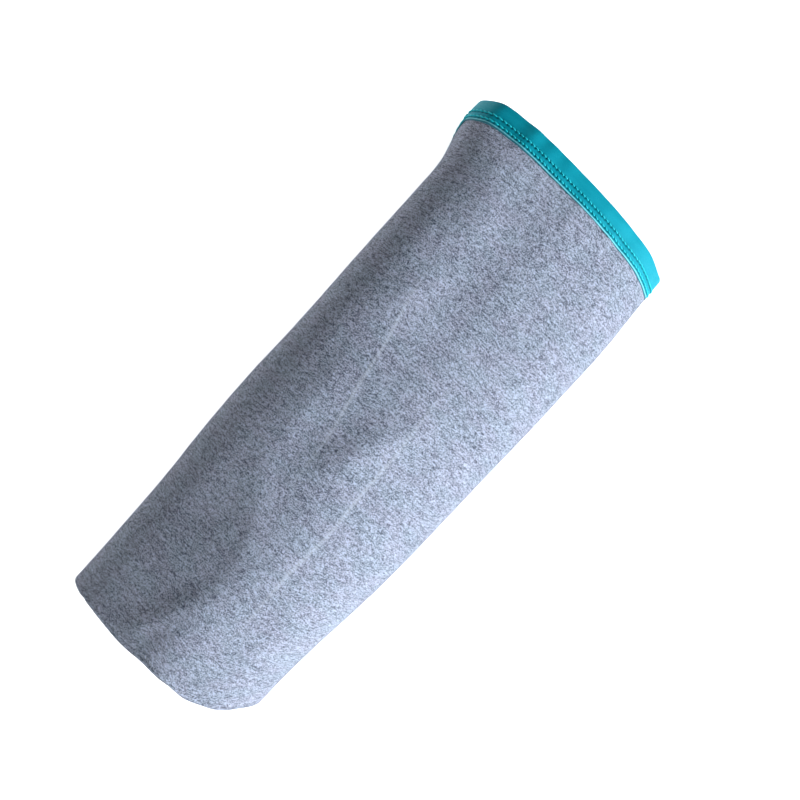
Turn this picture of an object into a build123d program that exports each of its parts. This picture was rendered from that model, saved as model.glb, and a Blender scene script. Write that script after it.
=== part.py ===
from build123d import *

import math
import os

# Quick dry towel, put away as a roll. The towel is one rectangle of jersey with a tape bound over
# each of its four edges. It is folded in half along its length, and the folded pair of layers is
# rolled up flat from one short edge, so both long edges come to the same end of the roll.
#
# Millimetres. +X runs along the roll from the fold to the bound long edges, +Y across it, +Z up.
# The origin is on the surface the roll lies on, under the middle of the roll.

# The towel, laid flat.
TOWEL_LENGTH = 1400.0
TOWEL_WIDTH = 700.0
CLOTH = 1.8  # one layer of the jersey
TAPE = 0.5  # one layer of the binding tape
BINDING_WIDTH = 14.0  # of the towel's edge that the tape covers

# Coverstitch: two needle threads on the front face, one looper thread on the back.
ROW_INSET = 1.3  # from the tape's inner edge to the nearer needle row
ROW_SPACING = 3.2
THREAD_WIDTH = 0.5
THREAD_THICKNESS = 0.2

# The roll.
LAYER_GAP = 0.5  # air between one layer and the next
HALF_TURNS = 11
FLAT_RUN = 82.5  # straight stretch of each layer between the roll's two round sides
CORE_RUN = 50.0  # straight stretch at the middle, where rolling starts
CLEARANCE = 0.05  # between the cloth, its tape and the threads

# Measured from the middle of the folded pair, along the outward normal.
PAIR_FACE = LAYER_GAP / 2 + CLOTH
LAYER_MIDDLE = (LAYER_GAP + CLOTH) / 2
PITCH = 2 * PAIR_FACE + LAYER_GAP  # a full turn lies this far outside the turn before

TURN_RADII = [half_turn * PITCH / 2 for half_turn in range(1, HALF_TURNS + 1)]
TAIL_RUN = TOWEL_LENGTH - CORE_RUN - (HALF_TURNS - 1) * FLAT_RUN - math.pi * sum(TURN_RADII)

# The fold takes a half circle of the towel's width, and the two layers share the rest.
LAYER_RUN = (TOWEL_WIDTH - math.pi * LAYER_MIDDLE) / 2
ROLL_LENGTH = PAIR_FACE + LAYER_RUN
FOLD_CENTRE = PAIR_FACE - ROLL_LENGTH / 2
BOUND_END = ROLL_LENGTH / 2

# The roll's two sides differ by half a pitch, so its core lies a little off the middle. The towel
# ends underneath, heading towards +Y. It starts at the core heading the other way, because the
# number of half turns between is odd.
CORE_HEADING = -1
TAIL_HEADING = 1
CORE_Y = PITCH / 4
CORE_Z = PAIR_FACE + (HALF_TURNS + 1) / 2 * PITCH
CORE_START = CORE_Y + CORE_HEADING * (FLAT_RUN / 2 - CORE_RUN)
TAIL_END = CORE_Y - FLAT_RUN / 2 + TAIL_RUN
TAIL_Z = PAIR_FACE


def layers_plane(y, z, heading):
    """Across layers that run along Y: local x is +X, and local y is away from the core."""
    return Plane(origin=(0, y, z), x_dir=(1, 0, 0), z_dir=(0, heading, 0))


def edge_plane(y, z, heading):
    """Across the outer layer where it meets the bound end, heading towards the fold."""
    origin = (BOUND_END - BINDING_WIDTH - CLEARANCE, y, z - heading * LAYER_MIDDLE)
    return Plane(origin=origin, x_dir=(0, heading, 0), z_dir=(-1, 0, 0))


def roll_steps(cut_off):
    """The roll's spiral as (run, turn radius) steps, with this much left off both of its ends."""
    runs = [FLAT_RUN] * (HALF_TURNS - 1) + [TAIL_RUN - cut_off]
    steps = [(CORE_RUN - cut_off, 0)]
    for radius, run in zip(TURN_RADII, runs):
        steps.append((0, radius))
        steps.append((run, 0))
    return steps


def fold_steps():
    """Along a short edge: to the fold, half way round it and back on the other layer."""
    run = BOUND_END - BINDING_WIDTH - CLEARANCE - FOLD_CENTRE
    return [(run, 0), (0, LAYER_MIDDLE), (run, 0)]


def carry(section, plane, steps):
    """One solid from a section taken along straight runs and half turns away from local +y."""
    lengths = []
    for run, radius in steps:
        face = plane * section
        outward = plane.y_dir
        if radius:
            centre = plane.origin - outward * radius
            lengths.append(revolve(face, Axis(centre, plane.x_dir), 180))
            plane = Plane(origin=centre - outward * radius, x_dir=plane.x_dir, z_dir=-plane.z_dir)
        else:
            lengths.append(extrude(face, run))
            plane = Plane(origin=plane.origin + plane.z_dir * run, x_dir=plane.x_dir, z_dir=plane.z_dir)
    return Part() + lengths


def tongue(tip, reach, thickness):
    """A flat strip's section with a round tip: local x runs from its edge into the cloth."""
    straight = reach - tip - thickness / 2
    round_tip = Pos(tip + thickness / 2, 0) * Circle(thickness / 2)
    return round_tip + Pos(reach - straight / 2, 0) * Rectangle(straight, thickness)


def groove(position, width, side):
    """The cut in the tape's face for a thread: side is 1 on the front face and -1 on the back."""
    depth = THREAD_THICKNESS + CLEARANCE
    return Pos(position, side * (CLOTH - depth) / 2) * Rectangle(width + 2 * CLEARANCE, depth)


def thread_section(position, width, side):
    """A thread in its groove, flush with the tape's face."""
    return Pos(position, side * (CLOTH - THREAD_THICKNESS) / 2) * Rectangle(width, THREAD_THICKNESS)


NEAR_ROW = BINDING_WIDTH - ROW_INSET
FAR_ROW = NEAR_ROW - ROW_SPACING
LOOPER_ROW = (NEAR_ROW + FAR_ROW) / 2
LOOPER_WIDTH = ROW_SPACING + THREAD_WIDTH

THREADS = {
    "needle_thread_1": (NEAR_ROW, THREAD_WIDTH, 1),
    "needle_thread_2": (FAR_ROW, THREAD_WIDTH, 1),
    "looper_thread": (LOOPER_ROW, LOOPER_WIDTH, -1),
}


def seam_sections():
    """The tape folded round one edge and the three threads through it, by name."""
    tape = tongue(0, BINDING_WIDTH, CLOTH) - tongue(TAPE, BINDING_WIDTH, CLOTH - 2 * TAPE)
    sections = {}
    for name, seat in THREADS.items():
        tape -= groove(*seat)
        sections[name] = thread_section(*seat)
    sections["binding"] = tape
    return sections


def pressed_edge():
    """The cloth's own edge, pressed thin inside the tape. It reaches a little into the full cloth."""
    return tongue(TAPE + CLEARANCE, BINDING_WIDTH + 1, CLOTH - 2 * (TAPE + CLEARANCE))


def on_outer_layer(section):
    """Moves an edge section to the outer layer at the bound end, front face outward."""
    return Pos(BOUND_END, LAYER_MIDDLE) * mirror(section, Plane.YZ)


def on_inner_layer(section):
    """Moves an edge section to the inner layer at the bound end, front face towards the core."""
    return Pos(BOUND_END, -LAYER_MIDDLE) * section.rotate(Axis.Z, 180)


def folded_layers():
    """The two full layers and the fold that joins them, up to the binding's inner edge."""
    body_end = BOUND_END - BINDING_WIDTH - CLEARANCE
    run = body_end - FOLD_CENTRE
    middle = Pos(FOLD_CENTRE + run / 2, 0)
    solid = Pos(FOLD_CENTRE, 0) * Circle(PAIR_FACE) + middle * Rectangle(run, 2 * PAIR_FACE)
    slit = Pos(FOLD_CENTRE, 0) * Circle(LAYER_GAP / 2) + middle * Rectangle(run, LAYER_GAP)
    return solid - slit


def cloth():
    """The jersey: full layers, with all four edges pressed thin where the tape covers them."""
    side_edges = on_outer_layer(pressed_edge()) + on_inner_layer(pressed_edge())
    covered = BINDING_WIDTH + CLEARANCE
    inset = CLOTH / 2  # the end tapes are round inside up to here
    core_plane = layers_plane(CORE_START + CORE_HEADING * inset, CORE_Z, CORE_HEADING)
    body_plane = layers_plane(CORE_START + CORE_HEADING * covered, CORE_Z, CORE_HEADING)
    tail_plane = layers_plane(TAIL_END - TAIL_HEADING * covered, TAIL_Z, TAIL_HEADING)
    core_edge = edge_plane(CORE_START, CORE_Z, CORE_HEADING)
    tail_edge = edge_plane(TAIL_END, TAIL_Z, TAIL_HEADING)
    return Part() + [
        carry(folded_layers() + side_edges, body_plane, roll_steps(covered)),
        carry(side_edges, core_plane, [(covered - inset, 0)]),
        carry(side_edges, tail_plane, [(covered - inset, 0)]),
        carry(pressed_edge(), core_edge, fold_steps()),
        carry(mirror(pressed_edge(), Plane.YZ), tail_edge, fold_steps()),
    ]


def edge_pieces():
    """The tape and the threads of each of the four edges, by node name."""
    pieces = {}
    for name, section in seam_sections().items():
        start = layers_plane(CORE_START, CORE_Z, CORE_HEADING)
        core = edge_plane(CORE_START, CORE_Z, CORE_HEADING)
        tail = edge_plane(TAIL_END, TAIL_Z, TAIL_HEADING)
        pieces["outer_side_edge_" + name] = carry(on_outer_layer(section), start, roll_steps(0))
        pieces["inner_side_edge_" + name] = carry(on_inner_layer(section), start, roll_steps(0))
        pieces["core_end_edge_" + name] = carry(section, core, fold_steps())
        pieces["tail_end_edge_" + name] = carry(mirror(section, Plane.YZ), tail, fold_steps())
    return pieces


os.makedirs("parts", exist_ok=True)

nodes = {"towel_cloth": cloth(), **edge_pieces()}
for node_name, node in nodes.items():
    export_step(node, "parts/" + node_name + ".step")
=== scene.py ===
import math

import bpy
import numpy as np
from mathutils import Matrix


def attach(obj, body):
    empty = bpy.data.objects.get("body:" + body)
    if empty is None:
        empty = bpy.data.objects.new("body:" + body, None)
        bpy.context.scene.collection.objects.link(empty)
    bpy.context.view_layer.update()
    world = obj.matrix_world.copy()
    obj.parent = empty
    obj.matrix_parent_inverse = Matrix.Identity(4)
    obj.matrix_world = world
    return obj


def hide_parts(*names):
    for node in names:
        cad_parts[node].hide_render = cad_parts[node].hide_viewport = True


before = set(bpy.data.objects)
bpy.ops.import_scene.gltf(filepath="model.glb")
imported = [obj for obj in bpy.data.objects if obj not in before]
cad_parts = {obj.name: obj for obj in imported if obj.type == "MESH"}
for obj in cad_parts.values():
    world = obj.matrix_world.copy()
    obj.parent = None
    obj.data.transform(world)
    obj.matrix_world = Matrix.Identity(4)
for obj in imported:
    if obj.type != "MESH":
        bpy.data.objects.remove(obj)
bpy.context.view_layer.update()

# A quick dry towel: a rectangle of heather jersey with teal tape bound over its four edges, folded
# in half along its length and rolled up flat from one short edge. Every piece is drawn on the flat
# towel first. laid() then folds, rolls and softens it.
#
# Metres. +X runs along the roll from the fold to the bound long edges, +Y across it, +Z up.
MM = 0.001
CREASE = "crease"  # the jersey's mesh attribute: 1 on a crease's top, where a highlight is painted

# The towel, laid flat.
TOWEL_LENGTH = 1400 * MM
TOWEL_WIDTH = 700 * MM
CLOTH = 1.8 * MM
TAPE = 0.5 * MM
BINDING_WIDTH = 14 * MM
ROW_INSET = 2.3 * MM  # from the tape's inner edge to the nearer needle row
ROW_SPACING = 3.2 * MM
STITCH = 2.5 * MM  # one stitch's length

# The jersey's knit.
WALE, COURSE = 0.43 * MM, 0.37 * MM  # one loop, along the towel and across it
LOOP_SWING = 1.3  # how far each loop swings across, in courses for each wale
STREAKS_PER_LOOP = 0.11  # how fast a yarn turns lighter and darker as it runs
YARNS_APART = 3.7  # how far apart two yarns' streaks are, so that they don't line up

# The neat roll, as the CAD model has it. Each half turn lies outside the one before.
LAYER_GAP = 0.5 * MM
HALF_TURNS = 11
FLAT_RUN = 82.5 * MM
CORE_RUN = 50 * MM
# From the middle of the folded pair of layers, out to its face and to the middle of a layer.
PAIR_FACE = LAYER_GAP / 2 + CLOTH
LAYER_MIDDLE = (LAYER_GAP + CLOTH) / 2
PITCH = 2 * PAIR_FACE + LAYER_GAP
TURN_RADII = [half_turn * PITCH / 2 for half_turn in range(1, HALF_TURNS + 1)]
TAIL_RUN = TOWEL_LENGTH - CORE_RUN - (HALF_TURNS - 1) * FLAT_RUN - math.pi * sum(TURN_RADII)
LAYER_RUN = (TOWEL_WIDTH - math.pi * LAYER_MIDDLE) / 2
ROLL_LENGTH = PAIR_FACE + LAYER_RUN
FOLD_CENTRE = PAIR_FACE - ROLL_LENGTH / 2
ROLL_HEIGHT = HALF_TURNS * PITCH + 2 * PAIR_FACE
SIDE_RADIUS = ROLL_HEIGHT / 2
SIDE_CENTRE = FLAT_RUN / 2
CORE_HEADING = -1
CORE_Y = PITCH / 4
CORE_Z = PAIR_FACE + (HALF_TURNS + 1) / 2 * PITCH
CORE_START = CORE_Y + CORE_HEADING * (FLAT_RUN / 2 - CORE_RUN)
# Where the outermost stretches start, along the towel.
LAST_HALF_TURN = TOWEL_LENGTH - TAIL_RUN - math.pi * TURN_RADII[-1]
OUTER_TURN = LAST_HALF_TURN - FLAT_RUN - math.pi * TURN_RADII[-2]
NEXT_TURN = OUTER_TURN - 2 * FLAT_RUN - math.pi * TURN_RADII[-3]


def smooth(value, start, end):
    """0 before start, 1 after end, with a soft change between."""
    t = np.clip((value - start) / (end - start), 0, 1)
    return t * t * (3 - 2 * t)


def bell(value, centre, half_width):
    """1 at the centre, falling away softly to 0 on both sides."""
    return np.exp(-(((value - centre) / half_width) ** 2))


def waves(points, length, seed, count=7):
    """Soft random waves of about this length through space, from about -1 to 1."""
    rng = np.random.default_rng(seed)
    total = np.zeros(np.broadcast_shapes(*(axis.shape for axis in points)))
    for _ in range(count):
        direction = rng.normal(size=3)
        direction *= rng.uniform(0.7, 1.3) * 2 * math.pi / length / np.linalg.norm(direction)
        start = rng.uniform(0, 2 * math.pi)
        total += np.sin(sum(k * axis for k, axis in zip(direction, points)) + start)
    return total / math.sqrt(count)


# ---- from the flat towel to the neat roll ----


def folded(w, d):
    """A point's place across the fold: along the roll, and out from the pair's middle.

    w is across the towel and d towards its front face."""
    angle = np.clip((w - LAYER_RUN) / LAYER_MIDDLE, 0, math.pi)
    beyond_fold = w - LAYER_RUN - math.pi * LAYER_MIDDLE
    straight = np.maximum(np.maximum(LAYER_RUN - w, beyond_fold), 0)
    radius = LAYER_MIDDLE + d
    return FOLD_CENTRE + straight - radius * np.sin(angle), radius * np.cos(angle)


def rolled(a, n):
    """Across the roll (y, z): a along the towel from the core, n out from the pair's middle."""
    spiral = [(CORE_RUN, 0)]
    for radius, run in zip(TURN_RADII, [FLAT_RUN] * (HALF_TURNS - 1) + [TAIL_RUN]):
        spiral += [(0, radius), (run, 0)]
    a, n = np.broadcast_arrays(a, n)
    y, z = np.zeros(a.shape), np.zeros(a.shape)
    start, corner_y, corner_z, heading = 0.0, CORE_START, CORE_Z, CORE_HEADING
    for run, radius in spiral:
        outward = -heading
        here = a >= start - 1e-9
        along = a - start
        if radius:
            angle = along / radius
            centre_z = corner_z - outward * radius
            y = np.where(here, corner_y + heading * (radius + n) * np.sin(angle), y)
            z = np.where(here, centre_z + outward * (radius + n) * np.cos(angle), z)
            corner_z = centre_z - outward * radius
            heading = -heading
            start += math.pi * radius
        else:
            y = np.where(here, corner_y + heading * along, y)
            z = np.where(here, corner_z + outward * n, z)
            corner_y += heading * run
            start += run
    return y, z


# ---- from the neat roll to the soft one ----

# The soft roll's half widths at mid-length, on its +Y side (left) and its -Y side (right), and its
# height.
LEFT_WIDTH = 69.7 * MM
RIGHT_WIDTH = 71.2 * MM
CROWN_HEIGHT = 57 * MM

# Broad slack folds in the outer layers, as (from, to, half width, height).
SLACK_FOLDS = [
    ((-38 * MM, 5 * MM), (46 * MM, -38 * MM), 10 * MM, 2.1 * MM),
    ((36 * MM, -30 * MM), (52 * MM, -64 * MM), 7 * MM, 0.7 * MM),
    ((92 * MM, -62 * MM), (78 * MM, 2 * MM), 8 * MM, 0.7 * MM),
    ((50 * MM, 37 * MM), (92 * MM, 22 * MM), 10 * MM, 1.6 * MM),
    ((96 * MM, 21 * MM), (138 * MM, 35 * MM), 10 * MM, 1.6 * MM),
    ((-60 * MM, 32 * MM), (20 * MM, 32 * MM), 12 * MM, 1.2 * MM),
    ((-170 * MM, 24 * MM), (-126 * MM, 0), 6 * MM, 1.8 * MM),
]
# Faint sharp creases in the outermost layer, as (from, to).
CREASES = [
    ((80 * MM, 29 * MM), (-46 * MM, 6 * MM)),
    ((40 * MM, -20 * MM), (-140 * MM, -26 * MM)),
]
CREASE_WIDTH, CREASE_HEIGHT = 0.75 * MM, 0.18 * MM

# Soft unevenness of the surface, as (height, length, random seed).
UNEVENNESS = [(0.7 * MM, 75 * MM, 3), (0.32 * MM, 30 * MM, 8), (0.1 * MM, 13 * MM, 5)]
# Puckers where the binding gathers the cloth.
PUCKER_HEIGHT, PUCKER_LENGTH, PUCKER_SEED = 0.22 * MM, 11 * MM, 11

CORE_CLOSING = 1.9 * MM  # how far the layers next to the empty core sink and rise
NEXT_TURN_SLIP = 3.8 * MM  # how far the second turn shows past the outermost one's fold


def kept_height(x, y):
    """How much of its neat height the roll keeps here.

    At the fold it is round. Towards the bound edges its crest moves to the +Y side and the top
    slopes down from it, flatter and wider."""
    leaning = smooth(x, -105 * MM, -35 * MM)
    twist = smooth(x, -40 * MM, 120 * MM)
    crest = (-3 + 27 * leaning + 11 * twist) * MM
    crest_radius = (5 + 4 * leaning) * MM
    left_slope = 0.34 - 0.07 * leaning - 0.08 * twist
    right_slope = 0.03 * leaning + 0.14 * twist
    left = np.hypot(np.maximum(y - crest, 0), crest_radius) - crest_radius
    right = np.hypot(np.maximum(crest - y, 0), crest_radius) - crest_radius
    # The -Y half also curves down, more and more towards its side.
    beyond = np.maximum(-3 * MM - y, 0)
    curve = (0.015 - 0.007 * twist) / MM * beyond ** 2 / (1 + beyond / (60 * MM))
    drop = left_slope * left + right_slope * right + curve
    return (CROWN_HEIGHT - drop) / ROLL_HEIGHT


def side_scales(x):
    """How much wider than the neat roll the soft one is on its +Y side and on its -Y side."""
    left_narrows = 3.3 * MM * smooth(-x, 20 * MM, 160 * MM)
    left_flares = 4.3 * MM * smooth(x, 122 * MM, 168 * MM)
    left = LEFT_WIDTH - left_narrows + left_flares
    widens = 0.02 * x
    narrows_at_fold = 5.5 * MM * smooth(-x, 45 * MM, 150 * MM)
    narrows_at_edges = 4.2 * MM * smooth(x, 105 * MM, 180 * MM)
    right = RIGHT_WIDTH + widens - narrows_at_fold - narrows_at_edges
    neat = SIDE_CENTRE + SIDE_RADIUS
    return left / (neat + CORE_Y), right / (neat - CORE_Y)


def ridge(x, y, start, end, half_width, height):
    """A ridge between two points that wanders a little and fades at both ends."""
    run = np.subtract(end, start)
    length = np.hypot(*run)
    ux, uy = run / length
    along = (x - start[0]) * ux + (y - start[1]) * uy
    wander = 0.5 * MM * np.sin(along / (9 * MM)) + 0.7 * MM * np.sin(along / (21 * MM) + 1)
    aside = (y - start[1]) * ux - (x - start[0]) * uy + wander
    tail = length / 3
    fade = smooth(along, -tail / 2, tail) * smooth(length - along, -tail / 2, tail)
    return height * fade * bell(aside, 0, half_width)


def facing_up(out_z):
    """1 where the roll's surface faces up, 0 where it faces down."""
    return smooth(out_z, -0.1, 0.7)


def standing_out(x, face_y, face_z, out_y, out_z):
    """How far the soft roll's surface stands out from the neat one's, at a point of the surface."""
    up = facing_up(out_z)
    down = smooth(-out_z, -0.1, 0.8)

    # Past the towel's end underneath, the next layer sags to the surface the roll lies on.
    past_tail = smooth(face_y, 7 * MM, 26 * MM) * smooth(-face_y, -75 * MM, -35 * MM)
    sag = 4.4 * MM * down * past_tail
    # The fold's rim droops, the bound edges' tips too, and their upper +Y corner stands out.
    rim_droop = 3.4 * MM * up ** 3 * smooth(-x, 150 * MM, 180 * MM)
    tip_droop = 1.8 * MM * up * smooth(x, 163 * MM, 178 * MM)
    shoulder = np.clip((out_y + out_z) / math.sqrt(2), 0, 1) ** 3 * smooth(out_y, 0.0, 0.5)
    corner = 6 * MM * shoulder * smooth(x, 140 * MM, 172 * MM)

    # Both kinds of unevenness are drawn out along the roll. The underside has a quarter of them.
    free = 0.25 + 0.75 * up
    face = (x * 0.7, face_y, face_z)
    uneven = sum(height * waves(face, length, seed) for height, length, seed in UNEVENNESS)
    pucker = waves((x * 0.2, face_y, face_z), PUCKER_LENGTH, PUCKER_SEED)
    pucker = PUCKER_HEIGHT * pucker * smooth(x, 130 * MM, 162 * MM)
    slack = up * sum(ridge(x, face_y, *fold) for fold in SLACK_FOLDS)
    return sag - rim_droop - tip_droop + corner + free * (uneven + pucker) + slack


def end_pull(x, face_y, out_y, out_z):
    """How far towards +X the roll's ends are pulled out of square.

    In plan, the fold's -Y corner is round, and so are the bound edges' corners. The bound edges
    lie further back where they turn down over the +Y side."""
    fold_end = smooth(-x, 90 * MM, 178 * MM)
    hollow = 3.7 * MM * bell(face_y, 4 * MM, 13 * MM)
    bulge = 1.8 * MM * bell(face_y, -30 * MM, 9 * MM)
    round_corner = 12.5 * MM * np.clip((-face_y - 38 * MM) / (31 * MM), 0, 1) ** 3
    sharp_corner = 4 * MM * smooth(face_y, 44 * MM, 64 * MM)

    bound_end = smooth(x, 100 * MM, 165 * MM)
    left_corner = 2 * MM * smooth(face_y, 46 * MM, 68 * MM)
    right_corner = 2 * MM * smooth(-face_y, 50 * MM, 68 * MM)
    turned_down = 12 * MM * smooth(0.42 - out_z, 0, 0.4) * smooth(out_y, 0, 0.5)

    at_fold = hollow - bulge + round_corner - sharp_corner
    at_edges = left_corner + right_corner + turned_down
    return at_fold * fold_end - at_edges * bound_end


def softened(x, y, z):
    """Takes a point of the neat roll to its place on the soft one.

    Returns x, y, z and how creased the cloth is there."""
    foot = np.clip(y - CORE_Y, -SIDE_CENTRE, SIDE_CENTRE) + CORE_Y
    dy, dz = y - foot, z - SIDE_RADIUS
    radius = np.maximum(np.hypot(dy, dz), 1e-6)
    out_y, out_z = dy / radius, dz / radius
    depth = radius / SIDE_RADIUS
    # The point of the roll's surface straight outside this one.
    face_y = foot + out_y * SIDE_RADIUS
    face_z = SIDE_RADIUS + out_z * SIDE_RADIUS

    proud = standing_out(x, face_y, face_z, out_y, out_z)
    y_soft = y + out_y * proud * depth
    z_soft = z + out_z * proud * depth
    outermost = facing_up(out_z) * smooth(depth, 0.9, 0.98)
    creased = outermost * sum(ridge(x, face_y, *ends, CREASE_WIDTH, 1) for ends in CREASES)
    z_soft = (z_soft + CREASE_HEIGHT * creased) * kept_height(x, y_soft)

    x = x + end_pull(x, face_y, out_y, out_z) * depth
    left, right = side_scales(x)
    y_soft = y_soft * np.where(y_soft > 0, left, right)
    return x, y_soft, np.maximum(z_soft, 0), creased


def closed_core(y, z):
    """The neat roll's height with the empty space past the towel's core end pressed nearly shut.

    The layers above it sink and the ones below it rise, less and less towards the surface."""
    past_end = smooth(y, CORE_START + 1 * MM, CORE_START + 10 * MM)
    before_bend = smooth(SIDE_CENTRE - y, 1 * MM, 11 * MM)
    above = np.clip((ROLL_HEIGHT - z) / (ROLL_HEIGHT - CORE_Z - PITCH / 2), 0, 1)
    below = np.clip(z / (CORE_Z - PITCH / 2), 0, 1)
    return z - CORE_CLOSING * past_end * before_bend * np.where(z > CORE_Z, above, -below)


def slid(a):
    """How far each turn has slipped along the roll against the outermost one.

    The next turn shows past the outermost one's fold."""
    inside = smooth(OUTER_TURN + 90 * MM - a, 0, 50 * MM)
    slip = -1.3 * MM + 0.9 * MM * np.sin(a / (61 * MM)) + 0.4 * MM * np.sin(a / (23 * MM) + 2)
    starts = smooth(a, NEXT_TURN - 30 * MM, NEXT_TURN)
    stops = smooth(NEXT_TURN + 70 * MM - a, 0, 45 * MM)
    return inside * slip - NEXT_TURN_SLIP * starts * stops


def laid(a, w, d):
    """Where a point of the towel lies on the roll, as x, y, z and how creased the cloth is there.

    a is along the towel, w across it and d towards its front face."""
    x, n = folded(w, d)
    y, z = rolled(a, n)
    return softened(x + slid(a), y, closed_core(y, z))


def place(a, w, d):
    """The same place as one array of points."""
    return np.stack(laid(a, w, d)[:3], axis=-1)


# ---- meshes ----


def steps(*stretches):
    """Evenly spaced values through stretches of (from, to, spacing)."""
    values = []
    for start, end, spacing in stretches:
        count = max(int(round((end - start) / spacing)), 1)
        values.append(np.linspace(start, end, count, endpoint=False))
    return np.append(np.concatenate(values), stretches[-1][1])


def make_piece(name, points, uv, caps, material):
    """A mesh piece from closed rings of points (rings, round, 3), with a flat uv for each point."""
    rings, count = points.shape[:2]
    ring, spot = np.meshgrid(np.arange(rings - 1), np.arange(count), indexing="ij")
    after = (spot + 1) % count
    here, there = ring * count, (ring + 1) * count
    quads = np.stack([here + spot, there + spot, there + after, here + after], axis=-1)
    faces = quads.reshape(-1, 4).tolist() + caps
    mesh = bpy.data.meshes.new(name)
    mesh.from_pydata(points.reshape(-1, 3).tolist(), [], faces)
    corners = np.empty(len(mesh.loops), dtype=np.int32)
    mesh.loops.foreach_get("vertex_index", corners)
    layer = mesh.uv_layers.new(name="Flat")
    layer.data.foreach_set("uv", uv.reshape(-1, 2)[corners].ravel())
    mesh.shade_smooth()
    mesh.update()
    mesh.validate()
    piece = bpy.data.objects.new(name, mesh)
    bpy.context.scene.collection.objects.link(piece)
    mesh.materials.append(material)
    return piece


def end_caps(rings, front, back):
    """Triangles that close both ends of a wall, between its front row of points and its back row.

    front and back hold (position, index) pairs, both in order of position."""
    caps = []
    i = j = 0
    while i + 1 < len(front) or j + 1 < len(back):
        front_next = front[i + 1][0] if i + 1 < len(front) else math.inf
        back_next = back[j + 1][0] if j + 1 < len(back) else math.inf
        if front_next <= back_next:
            face = [front[i][1], front[i + 1][1], back[j][1]]
            i += 1
        else:
            face = [front[i][1], back[j + 1][1], back[j][1]]
            j += 1
        caps.append(face)
    count = len(front) + len(back)
    last = (rings - 1) * count
    return caps + [[last + index for index in reversed(face)] for face in caps]


def finished(piece, node):
    """Rides the piece on the towel's one body in place of its CAD node."""
    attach(piece, "root")
    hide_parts(node)
    return piece


# ---- the cloth ----

PRESSED_HALF_THICKNESS = 0.36 * MM  # of the jersey inside the tape
RIM = TAPE + 0.1 * MM  # from the tape's outer edge to the jersey's


def cloth_half_thickness(a, w):
    """Half the jersey's thickness: full on the open towel, pressed thin inside the tape."""
    inset = np.minimum(np.minimum(w, TOWEL_WIDTH - w), np.minimum(a, TOWEL_LENGTH - a))
    open_cloth = smooth(inset, BINDING_WIDTH - 0.2 * MM, BINDING_WIDTH + 2.2 * MM)
    return PRESSED_HALF_THICKNESS + (CLOTH / 2 - PRESSED_HALF_THICKNESS) * open_cloth


def inner_rings(start, end):
    """Stretches of the hidden turns: rings wide apart on flat runs, close together round bends."""
    stretches = [(start, CORE_RUN, 6 * MM)]
    here = CORE_RUN
    for radius in TURN_RADII:
        bend_end = here + math.pi * radius
        run_end = bend_end + FLAT_RUN
        round_bend = np.clip(radius / 5, 1 * MM, 4 * MM)
        for a, b, spacing in ((here, bend_end, round_bend), (bend_end, run_end, 6 * MM)):
            if min(b, end) > max(a, start):
                stretches.append((max(a, start), min(b, end), spacing))
        here = run_end
    return stretches


def make_cloth(material):
    """The jersey: rings round its front and back faces, one at each step along the towel.

    The rings and rows are closest where the cloth shows: on top of the roll, by the seam and round
    the fold."""
    edge = BINDING_WIDTH
    fold_start, fold_end = LAYER_RUN, LAYER_RUN + math.pi * LAYER_MIDDLE
    top_start = LAST_HALF_TURN - FLAT_RUN
    near_tail = TOWEL_LENGTH - edge - 4 * MM
    near_side = TOWEL_WIDTH - edge - 4 * MM
    a = steps(
        (RIM, edge + 4 * MM, 3 * MM),
        *inner_rings(edge + 4 * MM, OUTER_TURN),
        (OUTER_TURN, top_start, 2.2 * MM),
        (top_start, LAST_HALF_TURN, 0.85 * MM),
        (LAST_HALF_TURN, near_tail, 2.2 * MM),
        (near_tail, TOWEL_LENGTH - RIM, 2 * MM),
    )
    front_w = steps(
        (RIM, edge - 1 * MM, 4 * MM),
        (edge - 1 * MM, edge + 5 * MM, 0.6 * MM),
        (edge + 5 * MM, edge + 26 * MM, 1.75 * MM),
        (edge + 26 * MM, fold_start - 16 * MM, 3.6 * MM),
        (fold_start - 16 * MM, fold_start, 2 * MM),
        (fold_start, fold_end, 0.4 * MM),
        (fold_end, fold_end + 12 * MM, 3 * MM),
        (fold_end + 12 * MM, near_side - 20 * MM, 22 * MM),
        (near_side - 20 * MM, near_side, 5 * MM),
        (near_side, TOWEL_WIDTH - RIM, 2 * MM),
    )
    back_w = steps(
        (RIM, edge + 4 * MM, 4 * MM),
        (edge + 4 * MM, fold_start - 8 * MM, 16 * MM),
        (fold_start - 8 * MM, fold_start, 4 * MM),
        (fold_start, fold_end, 0.6 * MM),
        (fold_end, fold_end + 8 * MM, 4 * MM),
        (fold_end + 8 * MM, near_side, 16 * MM),
        (near_side, TOWEL_WIDTH - RIM, 4 * MM),
    )
    w = np.concatenate([front_w, back_w[::-1]])
    side = np.concatenate([np.ones(len(front_w)), -np.ones(len(back_w))])
    a_grid, w_grid = np.meshgrid(a, w, indexing="ij")
    d_grid = side * cloth_half_thickness(a_grid, w_grid)
    front = [(value, index) for index, value in enumerate(front_w)]
    back = [(value, len(w) - 1 - index) for index, value in enumerate(back_w)]
    caps = end_caps(len(a), front, back)
    uv = np.stack([a_grid, w_grid], axis=-1)
    x, y, z, creased = laid(a_grid, w_grid, d_grid)
    piece = make_piece("towel_jersey", np.stack([x, y, z], axis=-1), uv, caps, material)
    # The creases, stored for the jersey's material, which paints a highlight on their tops.
    crease_highlight = piece.data.attributes.new(CREASE, "FLOAT", "POINT")
    crease_highlight.data.foreach_set("value", creased.ravel().astype(np.float32))
    return finished(piece, "towel_cloth")


# ---- the bindings and their seams ----

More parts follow.
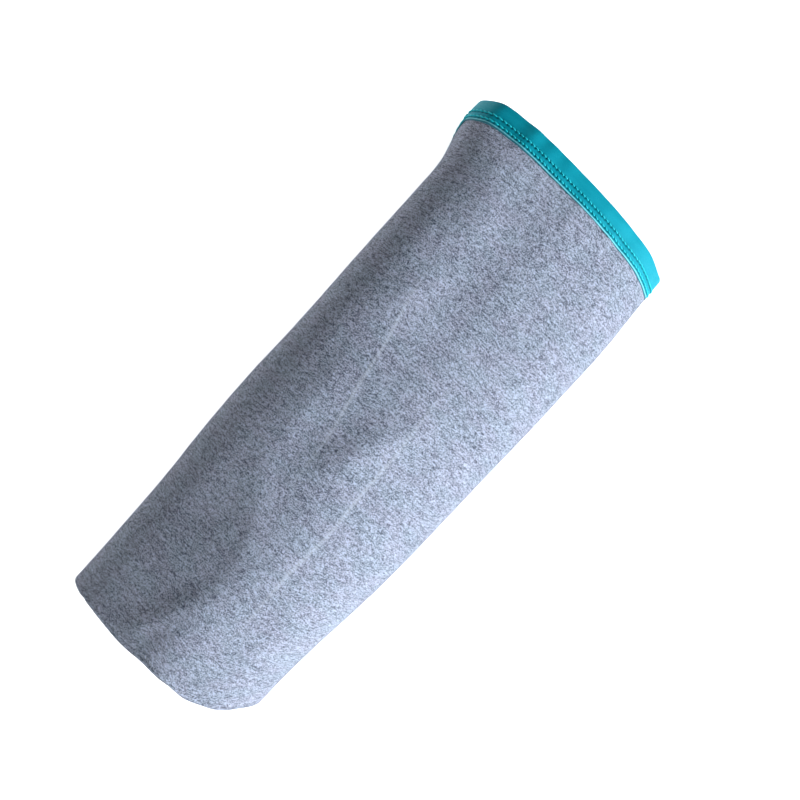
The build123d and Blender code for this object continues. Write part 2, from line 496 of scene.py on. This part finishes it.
NEAR_ROW = BINDING_WIDTH - ROW_INSET
FAR_ROW = NEAR_ROW - ROW_SPACING
GROOVE_OFFSET = 0.4 * MM  # each row's groove lies this far towards the tape's inner edge
GROOVE_WIDTH, GROOVE_DEPTH = 0.6 * MM, 0.5 * MM
SEAM_MARGIN = 1.2 * MM  # plain tape at each end of a seam
LOOPER_RADIUS = 0.16 * MM

# Each edge: where its tape starts and ends along it, and how a point along it and in from it lies
# on the flat towel. The short edges' tapes stop at the long edges' tapes.
SHORT_START, SHORT_END = BINDING_WIDTH, TOWEL_WIDTH - BINDING_WIDTH
EDGES = {
    "outer_side_edge": (0, TOWEL_LENGTH, lambda along, inset: (along, inset)),
    "inner_side_edge": (0, TOWEL_LENGTH, lambda along, inset: (along, TOWEL_WIDTH - inset)),
    "core_end_edge": (SHORT_START, SHORT_END, lambda along, inset: (inset, along)),
    "tail_end_edge": (SHORT_START, SHORT_END, lambda along, inset: (TOWEL_LENGTH - inset, along)),
}

# The tape's outline across an edge, in millimetres from the towel's edge: its rolled lip as (inset,
# height), its front face, its back face, and its inner faces against the cloth.
LIP = [(14.0, 0.42), (14.12, 0.62), (14.06, 0.9), (13.85, 1.08), (13.55, 1.12), (13.3, 1.04)]
FRONT_PLAIN_IN = [13.1, 12.8]
FRONT_NEAR_ROW = [12.6, 12.4, 12.2, 12.0, 11.8, 11.5, 11.1, 10.5, 9.9, 9.6]
FRONT_FAR_ROW = [9.4, 9.2, 9.0, 8.8, 8.6, 8.3, 7.8, 6.8]
FRONT_PLAIN_OUT = [5.5, 4, 2.5, 1.6]
FRONT = FRONT_PLAIN_IN + FRONT_NEAR_ROW + FRONT_FAR_ROW + FRONT_PLAIN_OUT
BACK = [2.5, 5.5, 8.5, 11, 13, 14]
INNER_BACK = [13.9, 9, 4]
INNER_FRONT = [4, 9, 13.6]


def tape_section():
    """The tape's outline as (inset, d): out over the front, round the tip and along the back."""
    outer, inner = CLOTH / 2, CLOTH / 2 - TAPE
    outline = [(inset * MM, d * MM) for inset, d in LIP]
    outline += [(inset * MM, outer) for inset in FRONT]
    for angle in np.linspace(0, math.pi, 9):
        outline.append((outer - outer * math.sin(angle), outer * math.cos(angle)))
    outline += [(inset * MM, -outer) for inset in BACK]
    outline += [(inset * MM, -inner) for inset in INNER_BACK]
    for angle in np.linspace(0, math.pi, 5):
        outline.append((outer - inner * math.sin(angle), -inner * math.cos(angle)))
    outline += [(inset * MM, inner) for inset in INNER_FRONT]
    return np.array(outline)


def needle_dimples(along, inset):
    """How deep the needle threads pull the tape in along the two rows, deepest at each hole."""
    hole = 0.35 + 0.65 * np.cos(math.pi * along / STITCH) ** 4
    rows = sum(bell(inset, row + GROOVE_OFFSET, GROOVE_WIDTH) for row in (NEAR_ROW, FAR_ROW))
    return GROOVE_DEPTH * hole * rows


def make_tape(edge, material):
    """The tape folded round one edge. Only the outer side edge's tape is dimpled by its seam."""
    start, end, on_towel = EDGES[edge]
    visible = edge == "outer_side_edge"
    if visible:
        along = steps((start, OUTER_TURN, 2 * STITCH / 3), (OUTER_TURN, end, STITCH / 8))
    else:
        along = steps((start, end, STITCH))
    outline = tape_section()
    along_grid, spot = np.meshgrid(along, np.arange(len(outline)), indexing="ij")
    inset, d = outline[spot, 0], outline[spot, 1]
    seam = needle_dimples(along_grid, inset) if visible else 0
    d = np.where(d >= CLOTH / 2 - 1e-6, d - seam, d)
    # The tape's inner edge wanders a little.
    line = (along_grid, np.zeros_like(inset), np.zeros_like(inset))
    wander = 0.012 * waves(line, 55 * MM, 21) + 0.006 * waves(line, 9 * MM, 22)
    inset = inset * (1 + wander)
    a, w = on_towel(along_grid, inset)
    count = len(outline)
    caps = [[i, i + 1, count - 2 - i, count - 1 - i] for i in range(count // 2 - 1)]
    last = (len(along) - 1) * count
    caps += [[last + index for index in reversed(face)] for face in caps]
    uv = np.stack([along_grid, inset], axis=-1)
    piece = make_piece(edge + "_tape", place(a, w, d), uv, caps, material)
    return finished(piece, edge + "_binding")


def make_thread(name, node, on_towel, along, inset, d, radius, material):
    """A thread along a path on the flat towel, as a tube with six sides and pinched ends."""
    sides = 6
    angle = 2 * math.pi * np.arange(sides) / sides
    size = np.broadcast_to(radius, along.shape).copy()
    size[[0, -1]] *= 0.4
    ring_inset = inset[:, None] + size[:, None] * np.cos(angle)
    ring_d = d[:, None] + size[:, None] * np.sin(angle)
    ring_along = np.repeat(along[:, None], sides, axis=1)
    a, w = on_towel(ring_along, ring_inset)
    cap = [[0, 1, 2, 3], [3, 4, 5, 0]]
    last = (len(along) - 1) * sides
    caps = [face[::-1] for face in cap] + [[last + index for index in face] for face in cap]
    uv = np.stack([ring_along, np.repeat(angle[None, :], len(along), axis=0)], axis=-1)
    piece = make_piece(name, place(a, w, ring_d), uv, caps, material)
    return finished(piece, node)


def stitch_phases(count, part):
    """Places along a row of stitches, counted in stitches: these parts of each, and its end."""
    return np.append((np.arange(count)[:, None] + np.array(part)).ravel(), count)


def make_seam(edge, material):
    """The edge's two rows of needle stitches on the front and the looper's zigzag on the back."""
    start, end, on_towel = EDGES[edge]
    first = start + SEAM_MARGIN
    count = int((end - start - 2 * SEAM_MARGIN) / STITCH)
    pieces = []

    # A stitch comes up out of one hole and goes down the next, thickest on top and a little aslant.
    phase = stitch_phases(count, [0, 0.07, 0.16, 0.32, 0.5, 0.68, 0.84, 0.93])
    along = first - first % STITCH + phase * STITCH
    on_top = 1 - np.abs(2 * (phase % 1) - 1) ** 5
    slant = 0.6 * MM * ((phase % 1) - 0.5) * on_top + 0.05 * MM * np.sin(phase * 1.7)
    d = CLOTH / 2 - 0.45 * MM + 0.65 * MM * on_top
    radius = (0.17 + 0.16 * on_top) * MM
    for number, row in ((1, NEAR_ROW), (2, FAR_ROW)):
        name = f"{edge}_needle_stitches_{number}"
        node = f"{edge}_needle_thread_{number}"
        pieces.append(make_thread(name, node, on_towel, along, row + slant, d, radius, material))

    phase = stitch_phases(count, [0, 0.2, 0.5, 0.7])
    along = first + phase * STITCH
    swing = np.cos(2 * math.pi * phase)
    inset = (NEAR_ROW + FAR_ROW) / 2 + ROW_SPACING / 2 * np.sign(swing) * np.abs(swing) ** 0.7
    d = np.full(len(phase), -CLOTH / 2 - 0.05 * MM)
    name, node = f"{edge}_looper_stitches", f"{edge}_looper_thread"
    pieces.append(make_thread(name, node, on_towel, along, inset, d, LOOPER_RADIUS, material))
    return pieces


# ---- materials ----

# Base colours, linear.
DARK_YARN, LIGHT_YARN = (0.035, 0.046, 0.078, 1), (0.600, 0.670, 0.830, 1)
COOL_CAST, WARM_CAST = (0.36, 0.52, 0.56, 1), (0.56, 0.47, 0.60, 1)
# A painted highlight for the creases' tops.
CREASE_HIGHLIGHT = (0.62, 0.69, 0.80, 1)
TAPE_DEEP, TAPE_TEAL = (0, 0.225, 0.305, 1), (0.003, 0.280, 0.370, 1)
# The lip colour on the next line is a painted highlight along the tape's rolled lip.
TAPE_BRIGHT, TAPE_LIP_HIGHLIGHT = (0.006, 0.36, 0.45, 1), (0.24, 0.70, 0.78, 1)
# The pit colour below is painted shade in the needle holes, the edge colour a painted shadow under
# the tape's lip.
TAPE_PIT_SHADE, TAPE_LIP_SHADOW = (0, 0.09, 0.12, 1), (0.04, 0.13, 0.18, 1)
THREAD_DEEP, THREAD_BRIGHT = (0.005, 0.46, 0.56, 1), (0.03, 0.68, 0.76, 1)


class Shader:
    """A small helper for building one node material."""

    def __init__(self, name):
        self.material = bpy.data.materials.new(name)
        self.material.use_nodes = True
        self.tree = self.material.node_tree
        self.bsdf = self.tree.nodes["Principled BSDF"]

    def node(self, kind, inputs=None, **settings):
        """A new node. An input is either a constant or the socket that feeds it."""
        node = self.tree.nodes.new(kind)
        for key, value in settings.items():
            setattr(node, key, value)
        for key, value in (inputs or {}).items():
            if isinstance(value, bpy.types.NodeSocket):
                self.tree.links.new(value, node.inputs[key])
            else:
                node.inputs[key].default_value = value
        return node

    def uv(self):
        """The piece's flat coordinates, in metres."""
        return self.node("ShaderNodeUVMap", uv_map="Flat").outputs[0]

    def flat(self, along, across):
        """The flat coordinates, each scaled to so many per metre."""
        inputs = {0: self.uv(), 1: (along, across, 1)}
        return self.node("ShaderNodeVectorMath", inputs, operation="MULTIPLY").outputs[0]

    def apart(self):
        """The flat coordinates one by one: along, and across or in from the edge."""
        flat = self.node("ShaderNodeSeparateXYZ", {0: self.uv()})
        return flat.outputs["X"], flat.outputs["Y"]

    def noise(self, vector, detail=2.0, roughness=0.5):
        inputs = {"Vector": vector, "Scale": 1.0, "Detail": detail, "Roughness": roughness}
        return self.node("ShaderNodeTexNoise", inputs).outputs["Fac"]

    def stripes(self, vector, direction, distortion=0.0):
        inputs = {"Vector": vector, "Scale": 1.0, "Distortion": distortion}
        return self.node("ShaderNodeTexWave", inputs, bands_direction=direction).outputs["Fac"]

    def ramp(self, value, low, high, to_low=0.0, to_high=1.0):
        """Goes evenly from to_low to to_high as the value goes from low to high."""
        inputs = {"Value": value, "From Min": low, "From Max": high}
        inputs.update({"To Min": to_low, "To Max": to_high})
        return self.node("ShaderNodeMapRange", inputs).outputs["Result"]

    def mix(self, share, first, second, blend="MIX"):
        """The first colour with this share of the second in it."""
        node = self.node("ShaderNodeMix", data_type="RGBA", blend_type=blend)
        for index, value in ((0, share), (6, first), (7, second)):
            if isinstance(value, bpy.types.NodeSocket):
                self.tree.links.new(value, node.inputs[index])
            else:
                node.inputs[index].default_value = value
        return node.outputs[2]

    def math(self, operation, first, second=0.0):
        return self.node("ShaderNodeMath", {0: first, 1: second}, operation=operation).outputs[0]

    def scaled(self, value, factor):
        return self.math("MULTIPLY", value, factor)

    def link(self, value, socket):
        self.tree.links.new(value, self.bsdf.inputs[socket])

    def bump(self, height, distance, strength=1.0):
        inputs = {"Height": height, "Distance": distance, "Strength": strength}
        self.link(self.node("ShaderNodeBump", inputs).outputs["Normal"], "Normal")


def knit_loops(s):
    """The knit's yarns: one course after another across the towel, each a chain of loops along it.

    Returns a number for each loop, the yarn's bulge, and a place on its own yarn for each point."""
    along, across = s.apart()
    wale = s.math("DIVIDE", along, WALE)
    aside = s.math("PINGPONG", wale, 0.5)
    course = s.math("ADD", s.math("DIVIDE", across, COURSE), s.scaled(aside, LOOP_SWING))
    yarn = s.math("FLOOR", course)
    loop = s.node("ShaderNodeCombineXYZ", {"X": s.math("FLOOR", wale), "Y": yarn}).outputs[0]
    dice = s.node("ShaderNodeTexWhiteNoise", {"Vector": loop}, noise_dimensions="2D")
    place_on_yarn = {"X": s.scaled(wale, STREAKS_PER_LOOP), "Y": s.scaled(yarn, YARNS_APART)}
    on_yarn = s.node("ShaderNodeCombineXYZ", place_on_yarn).outputs[0]
    bulge = s.ramp(s.math("PINGPONG", course, 0.5), 0.0, 0.3)
    bulge = s.math("MULTIPLY", bulge, s.ramp(aside, 0.0, 0.18, 0.2, 1.0))
    return dice.outputs["Value"], bulge, on_yarn


def heather_jersey():
    """Blue-grey heather jersey: yarns that turn lighter and darker as they run, faintly mottled."""
    s = Shader("heather_jersey")
    loop, bulge, on_yarn = knit_loops(s)
    streak = s.noise(on_yarn, detail=1, roughness=0.6)
    hair = s.noise(s.flat(2700, 3900), detail=2, roughness=0.7)
    patch = s.noise(s.flat(22, 30), detail=3, roughness=0.6)
    tint = s.noise(s.flat(55, 80), detail=2)

    light = s.scaled(loop, 0.50)
    light = s.math("ADD", light, s.scaled(s.ramp(streak, 0.34, 0.66), 0.28))
    light = s.math("ADD", light, s.scaled(s.ramp(hair, 0.3, 0.7), 0.22))
    light = s.math("ADD", light, s.scaled(s.math("SUBTRACT", patch, 0.5), 0.14))
    colour = s.mix(s.ramp(light, 0.27, 0.70), DARK_YARN, LIGHT_YARN)
    cool = s.mix(0.25, colour, COOL_CAST, "SOFT_LIGHT")
    warm = s.mix(0.25, colour, WARM_CAST, "SOFT_LIGHT")
    colour = s.mix(s.ramp(tint, 0.38, 0.62), cool, warm)
    # A painted highlight on the creases' tops, broken up along the streaks.
    crease_highlight = s.node("ShaderNodeAttribute", attribute_name=CREASE).outputs["Fac"]
    crease_highlight = s.math("MULTIPLY", crease_highlight, s.ramp(streak, 0.3, 0.6, 0.2, 0.8))
    s.link(s.mix(crease_highlight, colour, CREASE_HIGHLIGHT), "Base Color")

    s.link(s.ramp(hair, 0.3, 0.7, 0.98, 0.82), "Roughness")
    s.bsdf.inputs["Specular IOR Level"].default_value = 0.2
    s.bsdf.inputs["Sheen Weight"].default_value = 0.25
    s.bsdf.inputs["Sheen Roughness"].default_value = 0.55
    s.bsdf.inputs["Sheen Tint"].default_value = (0.85, 0.88, 1.0, 1)
    height = s.math("ADD", s.scaled(bulge, 0.8), s.math("ADD", streak, hair))
    s.bump(height, 0.3 * MM, 0.9)
    return s.material


def stitch_pit_shade(s, along, inset):
    """Where shade is painted: 1 at the holes that the two needles leave in the tape, 0 away from
    the rows.
    """
    share = s.math("PINGPONG", s.math("DIVIDE", along, STITCH), 0.5)
    hole = s.ramp(share, 0.10, 0.46, 1.0, 0.3)
    rows = []
    for row in (NEAR_ROW, FAR_ROW):
        aside = s.math("ABSOLUTE", s.math("SUBTRACT", inset, row + GROOVE_OFFSET))
        rows.append(s.ramp(aside, 0.45 * MM, 1.15 * MM, 1.0, 0.0))
    return s.math("MULTIPLY", hole, s.math("MAXIMUM", *rows))


def binding_tape():
    """Teal tape: a fine rib, painted shade in the needle holes, a painted highlight and shadow at
    the lip.
    """
    s = Shader("binding_tape")
    rib = s.stripes(s.flat(780, 0), "X", distortion=0.6)
    grain = s.noise(s.flat(1500, 1500), detail=2)
    patch = s.noise(s.flat(60, 160), detail=3)
    along, inset = s.apart()
    # A painted highlight along the top of the rolled lip.
    lip_highlight_starts = s.ramp(inset, 12.95 * MM, 13.15 * MM)
    lip_highlight_ends = s.ramp(inset, 13.5 * MM, 13.75 * MM, 1.0, 0.0)
    lip_highlight = s.math("MULTIPLY", lip_highlight_starts, lip_highlight_ends)
    # A painted shadow past the highlight, where the lip rolls down to the jersey.
    lip_shadow = s.ramp(inset, 13.55 * MM, 13.85 * MM)

    colour = s.mix(s.ramp(patch, 0.3, 0.7), TAPE_DEEP, TAPE_TEAL)
    colour = s.mix(s.scaled(s.ramp(grain, 0.3, 0.7), 0.35), colour, TAPE_BRIGHT)
    # Painted shade in the needle holes, then the painted shadow and highlight at the lip.
    colour = s.mix(s.scaled(stitch_pit_shade(s, along, inset), 0.8), colour, TAPE_PIT_SHADE)
    colour = s.mix(s.scaled(lip_shadow, 0.8), colour, TAPE_LIP_SHADOW)
    colour = s.mix(s.scaled(lip_highlight, 0.85), colour, TAPE_LIP_HIGHLIGHT)
    s.link(colour, "Base Color")
    s.link(s.ramp(grain, 0.3, 0.7, 0.62, 0.5), "Roughness")
    s.bsdf.inputs["Specular IOR Level"].default_value = 0.2
    s.bsdf.inputs["Specular Tint"].default_value = (0.3, 0.9, 1.0, 1)
    s.bsdf.inputs["Sheen Weight"].default_value = 0.1
    s.bsdf.inputs["Sheen Roughness"].default_value = 0.4
    s.bsdf.inputs["Sheen Tint"].default_value = (0.2, 0.9, 1.0, 1)
    s.bump(s.math("ADD", s.scaled(rib, 0.5), grain), 0.07 * MM, 0.8)
    return s.material


def stitch_thread():
    """Polyester thread, a brighter teal than the tape and a little shinier, with its twist."""
    s = Shader("stitch_thread")
    twist = s.stripes(s.flat(1300, 0.16), "DIAGONAL")
    s.link(s.mix(twist, THREAD_DEEP, THREAD_BRIGHT), "Base Color")
    s.link(s.ramp(twist, 0, 1, 0.6, 0.46), "Roughness")
    s.bsdf.inputs["Specular IOR Level"].default_value = 0.3
    s.bsdf.inputs["Specular Tint"].default_value = (0.3, 0.95, 1.0, 1)
    s.bump(twist, 0.05 * MM, 0.6)
    return s.material


# ---- floor, light and camera ----

HEADING = math.radians(-47.75)  # the camera's turn about the line it looks down
CAMERA = (20.8 * MM, -4.9 * MM, 468 * MM)
FIELD_OF_VIEW = math.radians(54)
FLOOR_SIZE = 12.0  # from the middle to each side
FLOOR_Z = -0.2 * MM
FLOOR_GLOW = 0.93
# Each lamp: azimuth, elevation, distance, size, power and colour.
LAMPS = {
    "key": (-84, 27, 1.6, 1.0, 58.5, (0.94, 0.97, 1.0)),
    "rim": (115, 8, 2.0, 0.5, 16, (1.0, 0.98, 0.95)),
}
SKY_COLOUR = (0.93, 0.95, 1.0, 1)
SKY_ON_ROLL, SKY_SEEN = 0.07, 0.95


def make_floor():
    """A plain white table top that glows a little, like a light table."""
    s = Shader("table_white")
    s.bsdf.inputs["Base Color"].default_value = (0.86, 0.86, 0.86, 1)
    s.bsdf.inputs["Roughness"].default_value = 0.9
    s.bsdf.inputs["Emission Color"].default_value = (1, 1, 1, 1)
    s.bsdf.inputs["Emission Strength"].default_value = FLOOR_GLOW
    mesh = bpy.data.meshes.new("floor")
    sides = [(-1, -1), (1, -1), (1, 1), (-1, 1)]
    corners = [(x * FLOOR_SIZE, y * FLOOR_SIZE, FLOOR_Z) for x, y in sides]
    mesh.from_pydata(corners, [], [(0, 1, 2, 3)])
    floor = bpy.data.objects.new("floor", mesh)
    mesh.materials.append(s.material)
    bpy.context.scene.collection.objects.link(floor)


def make_lamp(name, azimuth, elevation, distance, size, power, colour):
    """A soft square lamp that faces the roll from this azimuth round it and elevation above it."""
    data = bpy.data.lights.new(name, "AREA")
    data.size = size
    data.energy = power
    data.color = colour
    lamp = bpy.data.objects.new(name, data)
    a, e = math.radians(azimuth), math.radians(elevation)
    away = distance * math.cos(e)
    lamp.location = (away * math.cos(a), away * math.sin(a), distance * math.sin(e))
    lamp.rotation_euler = (math.pi / 2 - e, 0, a + math.pi / 2)
    bpy.context.scene.collection.objects.link(lamp)


def make_light():
    """A large soft key on the roll's -Y side, a weak low rim light behind, and a pale surrounding.

    The surrounding looks bright but lights the roll only a little."""
    for name, settings in LAMPS.items():
        make_lamp(name, *settings)
    world = bpy.data.worlds.new("studio")
    world.use_nodes = True
    tree = world.node_tree
    background = tree.nodes["Background"]
    background.inputs["Color"].default_value = SKY_COLOUR
    path = tree.nodes.new("ShaderNodeLightPath")
    strength = tree.nodes.new("ShaderNodeMapRange")
    strength.inputs["To Min"].default_value = SKY_ON_ROLL
    strength.inputs["To Max"].default_value = SKY_SEEN
    tree.links.new(path.outputs["Is Camera Ray"], strength.inputs["Value"])
    tree.links.new(strength.outputs["Result"], background.inputs["Strength"])
    bpy.context.scene.world = world


def make_camera():
    """Straight above the roll, turned so that the roll runs up to the right."""
    data = bpy.data.cameras.new("camera")
    data.sensor_width = 36
    data.lens = data.sensor_width / 2 / math.tan(FIELD_OF_VIEW / 2)
    camera = bpy.data.objects.new("camera", data)
    camera.location = CAMERA
    camera.rotation_euler = (0, 0, HEADING)
    bpy.context.scene.collection.objects.link(camera)
    bpy.context.scene.camera = camera


make_camera()
make_floor()
make_light()
bpy.context.scene.view_settings.view_transform = "Standard"

jersey = make_cloth(heather_jersey())
tape_material, thread_material = binding_tape(), stitch_thread()
sewn_on = []
for edge_name in EDGES:
    sewn_on.append(make_tape(edge_name, tape_material))
    sewn_on += make_seam(edge_name, thread_material)
